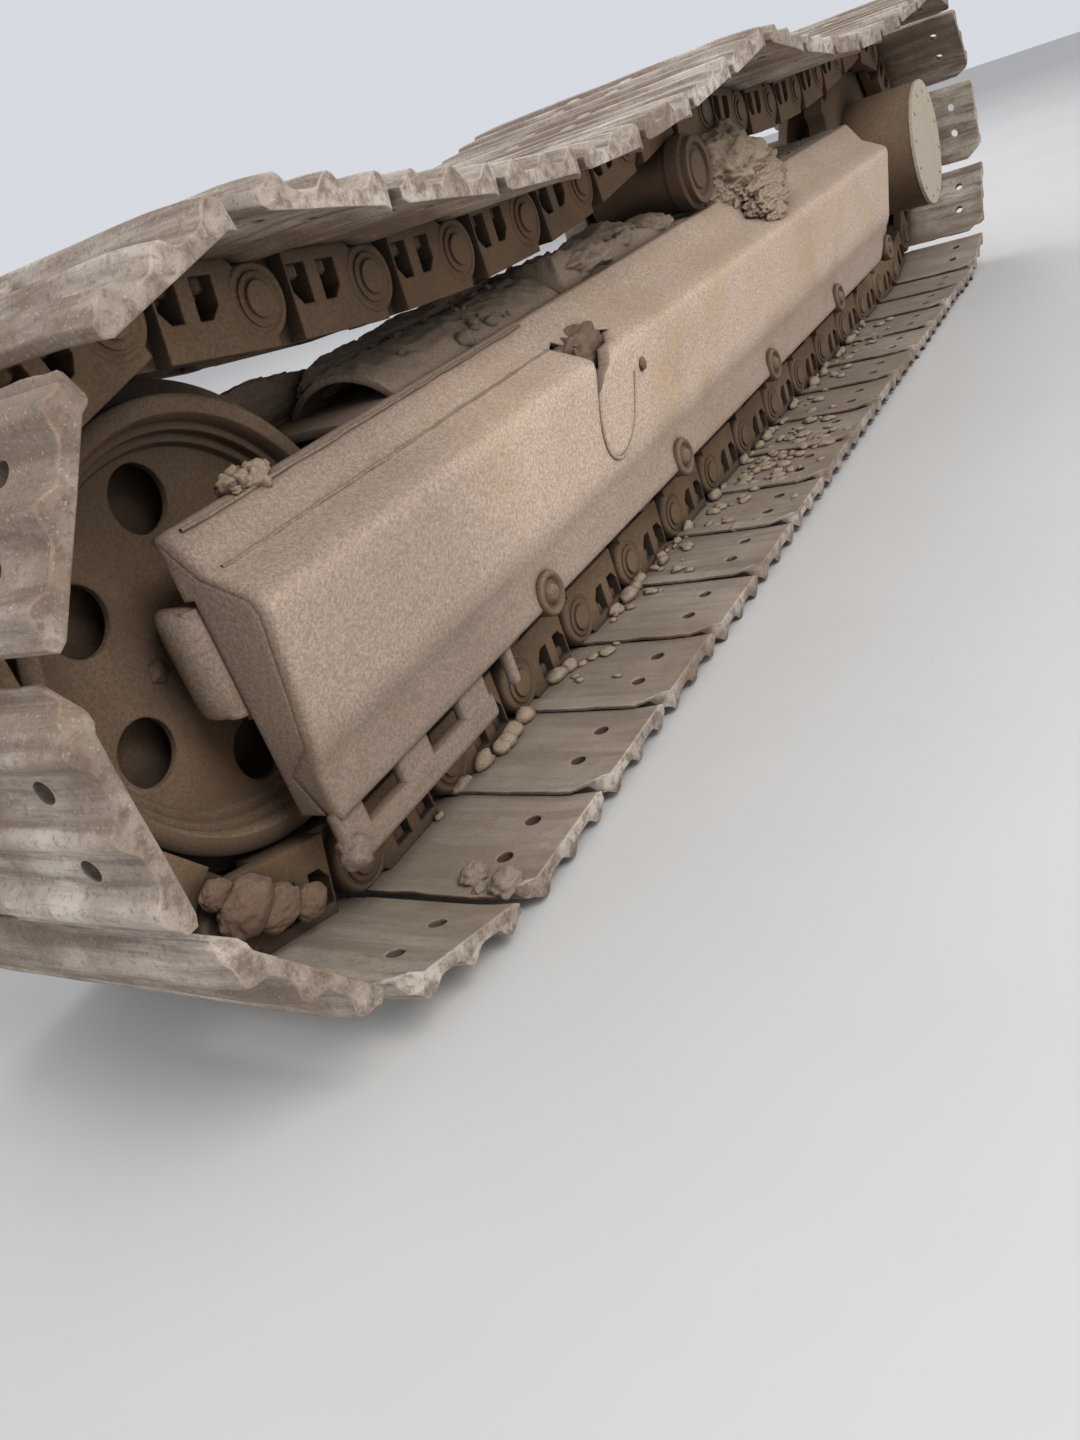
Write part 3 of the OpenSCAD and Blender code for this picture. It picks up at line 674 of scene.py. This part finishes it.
# Its section of (y, z) in millimetres, down the outside and up the inside
OUTER = [(75, 397), (82, 398), (89, 397), (97, 385.5), (106, 372), (114, 361), (127, 354), (140, 347),
         (151, 341), (155.5, 336.5), (157, 329), (156.2, 321), (153.6, 305), (151, 289), (148.5, 273),
         (146, 257), (143.5, 241), (141, 226), (139, 214), (135.5, 204), (131, 195), (129, 186),
         (128.6, 176), (129.6, 167), (131, 158), (131.6, 150), (130, 147)]
INNER = [(118, 147), (97, 188), (125, 214), (143, 326), (140, 339), (100, 360)]
# Each dent: x, z, radius and depth
DENTS = [(0.30, 0.27, 0.055, 0.004), (0.66, 0.25, 0.045, 0.003), (-0.25, 0.24, 0.08, 0.004),
         (0.93, 0.31, 0.05, 0.0025), (-0.55, 0.29, 0.06, 0.003)]
# The hole worn through the slope: (x from the idler, z) in millimetres
TEAR = [(-600, 350), (-583, 356), (-566, 355), (-548, 360), (-530, 352), (-512, 366), (-499, 362),
        (-507, 338), (-503, 318), (-500, 300), (-513, 307), (-524, 318), (-537, 324), (-552, 340), (-577, 341)]
# The rounded front end, the lower edge with its foot and rising rear, and the cover plate on the slope
FRONT_R, LEAN, WALL_STEPS = 0.014, 0.005, 200
EDGE_Z, EDGE_LEAST, NOTCH_R, REAR_Z, REAR_FALL = 0.147, 0.139, 0.026, 0.184, 0.41
FOOT_Z, FOOT_RISE = 0.152, 0.002
PLATE_FROM, PLATE_POINTS, PLATE_Y, PLATE_Z = XI - 0.497, range(3, 9), 0.0012, 0.0028


def low_edge(x):
    """The wall's lower edge, with a notch over each roller shaft and a rising rear end."""
    z = EDGE_Z
    for a, b in ROLLERS:
        if abs(x - a) < NOTCH_R:
            z = min(z, b - math.sqrt(NOTCH_R ** 2 - (x - a) ** 2))
    return max(z, EDGE_LEAST, REAR_Z - (x - WALL_X0) * REAR_FALL)


def wall_row(bm, x):
    """One section of the wall, leaning in at the rounded front end."""
    t = max(0.0, (x - WALL_X1 + FRONT_R) / FRONT_R)
    lean = LEAN * (1 - math.sqrt(max(0.0, 1 - t * t)))
    row = []
    for i, (y, z) in enumerate(OUTER + INNER):
        y, z = y / 1000, z / 1000
        outside = i < len(OUTER) - 1
        if outside:
            y += 0.0007 * wob(x, y, z, 9) + 0.0005 * wob(x, y, z, 40) - lean
            y -= sum(d * math.exp(-((x - a) ** 2 + (z - b) ** 2) / c ** 2) for a, b, c, d in DENTS)
            z -= lean * 0.6 if z > 0.33 else 0.0
            if x > PLATE_FROM and i in PLATE_POINTS:
                y, z = y + PLATE_Y, z + PLATE_Z
        foot = low_edge(x) + (FOOT_RISE if outside and z < FOOT_Z else 0.0)
        row.append(bm.verts.new((x, y, max(z, foot))))
    return row


bm = bmesh.new()
stations = [WALL_X0 + (WALL_X1 - FRONT_R - WALL_X0) * i / WALL_STEPS for i in range(WALL_STEPS + 1)]
stations += [WALL_X1 - 0.010, WALL_X1 - 0.006, WALL_X1 - 0.003, WALL_X1 - 0.001, WALL_X1]
skin(bm, [wall_row(bm, x) for x in stations])
o = piece("worn_wall", bm, "frame_paint")
tool = bmesh.new()
prism(tool, [(XI + x / 1000, z / 1000) for x, z in TEAR], 0.100, 0.172)
cut(o, tool)
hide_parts("frame_side_outer")

# The chain guard under the fork: a rail, and posts between open windows
bm = bmesh.new()
slab(bm, XI - 0.186, XI + 0.056, 0.112, 0.127, 0.098, 0.124)
for a, b in ((0.020, 0.056), (-0.081, -0.032), (-0.182, -0.134)):
    slab(bm, XI + a, XI + b, 0.113, 0.126, 0.110, 0.152)
slab(bm, XI - 0.238, XI - 0.226, 0.113, 0.126, 0.104, 0.152)
o = piece("worn_guard", bm, "frame_paint", smooth=False, bevel=0.005)
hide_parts("guide_guard_outer")

# Its worn toe
bm = bmesh.new()
lump(bm, (XI + 0.046, 0.119, 0.112), (0.016, 0.013, 0.017), 0.25, 4, 3.3)
piece("guard_toe", bm, "frame_paint")


# ---------------------------------------------------------------- idler and yoke
# The idler: stepped and ridged rim, six dark holes in its outer web, slim hub; points of (radius, y)
IDLER = [(0.0285, 0.050), (0.036, 0.050), (0.038, 0.047), (0.040, 0.016), (0.045, 0.0125), (0.140, 0.0130),
         (0.148, 0.0145), (0.151, 0.0205), (0.157, 0.0215), (0.159, 0.0300), (0.165, 0.0312), (0.167, 0.0400),
         (0.170, 0.0438), (0.181, 0.0440), (0.185, 0.0410), (0.185, 0.0230), (0.188, 0.0200), (0.198, 0.0175),
         (0.201, 0.0140), (0.201, -0.0140), (0.198, -0.0175), (0.188, -0.0200), (0.185, -0.0230),
         (0.185, -0.0410), (0.181, -0.0440), (0.165, -0.0440), (0.160, -0.0400), (0.154, -0.0340),
         (0.045, -0.0320), (0.040, -0.0340), (0.038, -0.0470), (0.036, -0.0500), (0.0285, -0.0500)]
# The space between its two webs
CAVITY = [(0.046, 0.0055), (0.143, 0.0060), (0.149, -0.0040), (0.146, -0.0260), (0.046, -0.0260)]
HOLES, HOLE_R, HOLE_CIRCLE_R = 6, 0.028, 0.1145


def wheel(bm, profile, n, wear=0.0):
    """A closed profile turned about the idler's axis."""
    rings = []
    for r, y in profile:
        ring = []
        for i in range(n):
            c, s = math.cos(TAU * i / n), math.sin(TAU * i / n)
            ring.append(bm.verts.new((XI + (r - wear * abs(wob(c * 3, s * 3, r * 20))) * c, y, ZI + r * s)))
        rings.append(ring)
    skin(bm, rings, caps=False, closed=True)


bm = bmesh.new()
wheel(bm, IDLER, 128, 0.0006)
o = piece("worn_idler", bm, "cast_steel", body="idler")
tool = bmesh.new()
wheel(tool, CAVITY, 64)
cut(o, tool)
tool = bmesh.new()
for i in range(HOLES):
    a = math.radians(-91 - 360 / HOLES * i)
    hole = disc(XI + HOLE_CIRCLE_R * math.cos(a), ZI - HOLE_CIRCLE_R * math.sin(a), HOLE_R, 40)
    prism(tool, hole, -0.010, 0.06)
cut(o, tool)
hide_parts("idler_wheel")

# The rounded nose of the yoke, on both sides of the idler: turned, squashed, and flat behind
NOSE = [(0.0120, -0.0545), (0.0165, -0.0525), (0.0190, -0.0470), (0.0196, -0.0300), (0.0197, 0.0150),
        (0.0190, 0.0325), (0.0165, 0.0385), (0.0120, 0.0405)]
NOSE_X, NOSE_BACK, NOSE_Y, NOSE_SQUASH = XI + 0.044, XI + 0.046, 0.0565, (0.95, 1.47, 1.0, 1.0)
bm = bmesh.new()
for out in (1, -1):
    turned(bm, NOSE, 40, shift(NOSE_X, out * NOSE_Y, ZI) @ Matrix.Diagonal(NOSE_SQUASH))
for v in bm.verts:
    v.co.x = max(v.co.x, NOSE_BACK)
piece("yoke_nose", bm, "frame_paint")

# The arched cover over the fork's root, open towards the idler
ARCH = [(y / 1000, ARCH_Z + math.sqrt(ARCH_R ** 2 - (y / 1000) ** 2)) for y in range(-74, 75, 4)]
bm = bmesh.new()
rows = []
for x in (ARCH_X, XI - 0.639, XI - 0.5, XI - 0.4, XI - 0.282, XI - 0.280):
    rows.append([bm.verts.new((x, y, z + 0.0006 * wob(x * 9, y * 20, 1))) for y, z in ARCH]
                + [bm.verts.new((x, y * 0.93, ARCH_Z + (z - ARCH_Z) * 0.92)) for y, z in ARCH[::-1]])
skin(bm, rows, caps=False)
n = len(rows[0])
for row in (rows[0], rows[-1]):
    for i in range(n // 2 - 1):
        bm.faces.new((row[i], row[i + 1], row[n - 2 - i], row[n - 1 - i]))
piece("root_cover", bm, "frame_paint", sharp=FOLD)

# Soil that closes its rear end
bm = bmesh.new()
lump(bm, (XI - 0.637, 0.0, 0.392), (0.006, 0.072, 0.026), 0.2, 4, 2.9, 1.0, 0.388)
piece("root_cover_end", bm, "soil")


# ---------------------------------------------------------------- clods, stones and crumbs
# Middle and half-axes of each clod: the tall one behind the carrier roller and what slid from it,
# then soil heaped before it and along the inner ridge
CLODS = [((-0.155, 0.058, 0.428), (0.108, 0.066, 0.060)), ((-0.250, 0.050, 0.412), (0.110, 0.052, 0.040)),
         ((-0.085, 0.066, 0.402), (0.050, 0.036, 0.034)), ((-0.190, 0.098, 0.392), (0.110, 0.034, 0.034)),
         ((-0.150, 0.122, 0.366), (0.075, 0.026, 0.024)), ((-0.130, 0.138, 0.349), (0.040, 0.016, 0.014)),
         ((0.120, 0.03, 0.400), (0.060, 0.045, 0.024)), ((0.235, 0.02, 0.408), (0.080, 0.050, 0.030)),
         ((0.36, 0.045, 0.412), (0.075, 0.036, 0.024)), ((0.50, -0.045, 0.424), (0.100, 0.030, 0.018)),
         ((0.62, -0.050, 0.420), (0.090, 0.028, 0.018)), ((0.72, -0.055, 0.416), (0.070, 0.026, 0.020)),
         ((0.86, -0.087, 0.414), (0.120, 0.011, 0.030)), ((0.99, -0.087, 0.408), (0.090, 0.010, 0.026))]
FINE_CLODS = 5
bm = bmesh.new()
for i, (c, r) in enumerate(CLODS):
    lump(bm, c, r, 0.20, 6 if i < FINE_CLODS else 5, 3.1 + 1.7 * i, 1.3)
piece("clods", bm, "soil")

# Soil caked on the chain where it leaves the ground: place and size
CAKED = [(1.222, 0.078, 0.122, 0.022), (1.198, 0.080, 0.101, 0.018), (1.165, 0.078, 0.080, 0.014),
         (1.236, 0.074, 0.146, 0.012)]
bm = bmesh.new()
for i, (x, y, z, s) in enumerate(CAKED):
    lump(bm, (x, y, z), (s * 1.3, s * 0.75, s), 0.15, 5, i * 4.1, 0.8)
piece("chain_soil", bm, "red_soil")

# Soil in the hole worn through the wall
bm = bmesh.new()
lump(bm, (XI - 0.548, 0.116, 0.334), (0.058, 0.020, 0.032), 0.3, 5, 2.2, 1.2)
piece("packed_soil", bm, "red_soil")

# Stones on the roof's soil, on a shoe's outer edge and on the arch
SHOE_STONES = [(1.072, 0.203, 0.013), (1.063, 0.163, 0.011), (1.079, 0.178, 0.006)]
ARCH_STONES = [(0.66, 0.062, 0.010), (0.60, 0.060, 0.007), (0.62, 0.052, 0.006)]
bm = bmesh.new()
for i in range(64):
    x = random.choice((random.gauss(0.36, 0.12), random.gauss(0.62, 0.09), random.uniform(-0.7, 0.78)))
    y = random.uniform(-0.06, 0.068)
    s = random.uniform(0.0018, 0.0045)
    if x > SOIL_X1 - 0.01 or x < SOIL_X0 + 0.01 or abs(x - XC) < 0.07:
        continue
    half = (s * random.uniform(0.9, 1.7), s * random.uniform(0.8, 1.4), s)
    lump(bm, (x, y, soil_top(x, y) + 0.3 * s), half, 0.35, 2, i * 1.3)
for x, y, s in SHOE_STONES:
    lump(bm, (x, y, 0.026 + 0.6 * s), (s * 1.25, s, s * 0.8), 0.3, 4, x * 31 + y)
for x, y, s in ARCH_STONES:
    lump(bm, (x, y, roof_z(x, y) + 0.004), (s * 1.3, s, s), 0.3, 3, x * 40)
piece("stones", bm, "stone")

# Crumbs heaped on the ridge near the fork's front, in a row along the chain, and strewn over the lower shoes
SHOE_TOP, REST = 0.024, 0.0242
bm = bmesh.new()
for i in range(26):
    s = random.uniform(0.003, 0.010)
    at = (XI - 0.045 + random.gauss(0, 0.012), 0.083 + random.gauss(0, 0.004),
          0.397 + random.uniform(-0.001, 0.008))
    lump(bm, at, (s * 1.2, s, s), 0.5, 3, i * 2.1)
for i in range(60):
    s = random.uniform(0.003, 0.011)
    at = (random.uniform(-0.75, 0.98), random.uniform(0.061, 0.072), SHOE_TOP + 0.4 * s)
    lump(bm, at, (s * 1.6, s, s), 0.45, 2, i * 3.7, 1.0, REST)
for i in range(170):
    x, y = random.choice(((random.gauss(0.05, 0.10), random.gauss(0.14, 0.03)),
                          (random.uniform(-0.75, 0.75), random.gauss(0.095, 0.018))))
    s = random.uniform(0.0025, 0.008)
    if y > 0.21 or y < 0.062:
        continue
    lump(bm, (x, y, SHOE_TOP + 0.25 * s), (s * random.uniform(1, 1.8), s * random.uniform(1, 1.8), s * 0.7),
         0.45, 2, i * 1.7, 1.0, REST)
piece("crumbs", bm, "soil")


# ---------------------------------------------------------------- welds and a plug on the wall
def wall_y(z):
    """The wall's outer face between its lower crease, (139, 214), and its upper fold, (157, 326)."""
    return 0.139 + (z - 0.214) * 0.018 / 0.112


def bead(name, pts, radius, look):
    """A weld bead through points."""
    cu = bpy.data.curves.new(name, "CURVE")
    cu.dimensions, cu.bevel_depth, cu.bevel_resolution = "3D", radius, 3
    sp = cu.splines.new("NURBS")
    sp.points.add(len(pts) - 1)
    for p, q in zip(sp.points, pts):
        p.co = (*q, 1)
    sp.use_endpoint_u = True
    sp.order_u = 4
    o = add(name, cu)
    cu.materials.append(M[look])
    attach(o, "frame")


# The edge of a patch under the worn-through hole, as (x, z)
PATCH = [(0.585, 0.305), (0.591, 0.275), (0.588, 0.246), (0.573, 0.227), (0.552, 0.220), (0.528, 0.226),
         (0.508, 0.243), (0.498, 0.268), (0.490, 0.298)]
bead("patch_weld", [(x - 0.0005, wall_y(z) + 0.0002, z) for x, z in PATCH], 0.0022, "frame_paint")

# The two long edges of the cover plate on the slope, as (y, z): dark beads, partly weld joints and partly a
# painted shade line along the plate's step
UNEVEN, PLATE_L, BEAD_STEPS = 0.0008, 0.530, 40
for k, (y, z) in enumerate(((0.0925, 0.3945), (0.1165, 0.3625))):
    line = [(XI - 0.49 + PLATE_L * i / BEAD_STEPS, y + random.uniform(-UNEVEN, UNEVEN),
             z + random.uniform(-UNEVEN, UNEVEN)) for i in range(BEAD_STEPS + 1)]
    bead("cover_weld_%d" % k, line, 0.0018, "frame_dirt")

bm = bmesh.new()
turned(bm, WALL_PLUG, 6, side(wall_y(0.300), 0.468, 0.300))
piece("wall_plug", bm, "cast_steel", smooth=False)


# ---------------------------------------------------------------- floor and light
FLOOR_HALF = 9
FLOOR_DARK, FLOOR_PALE = (0.50, 0.49, 0.48, 1), (0.56, 0.55, 0.54, 1)
SKY, SKY_STRENGTH = (0.9, 0.94, 1.0, 1), 0.75
me = bpy.data.meshes.new("floor")
me.from_pydata([(x * FLOOR_HALF, y * FLOOR_HALF, 0) for x, y in ((-1, -1), (1, -1), (1, 1), (-1, 1))], [],
               [(0, 1, 2, 3)])
floor = add("floor", me)
fm = Mat("floor_pale")
me.materials.append(fm.done(fm.ramp(fm.noise(1.2), (0.2, FLOOR_DARK), (0.8, FLOOR_PALE)), 0.9))

w = bpy.data.worlds.new("w")
bpy.context.scene.world = w
w.use_nodes = True
background = w.node_tree.nodes["Background"]
background.inputs[0].default_value = SKY
background.inputs[1].default_value = SKY_STRENGTH


def area(name, loc, at, size, power, col):
    """A square lamp at loc that points at a place."""
    lamp = bpy.data.lights.new(name, "AREA")
    lamp.size, lamp.energy, lamp.color = size, power, col
    o = add(name, lamp)
    o.location = loc
    o.rotation_euler = (Vector(at) - Vector(loc)).to_track_quat("-Z", "Y").to_euler()


area("key", (1.6, 3.2, 3.4), (0.3, 0, 0.2), 2.2, 145, (1, 0.97, 0.93))
area("fill", (3.6, 0.6, 1.6), (0.6, 0, 0.3), 2.0, 22, (0.95, 0.97, 1))
area("back", (-3.5, -1.5, 3.0), (-0.4, 0, 0.3), 2.0, 70, (1, 1, 1))
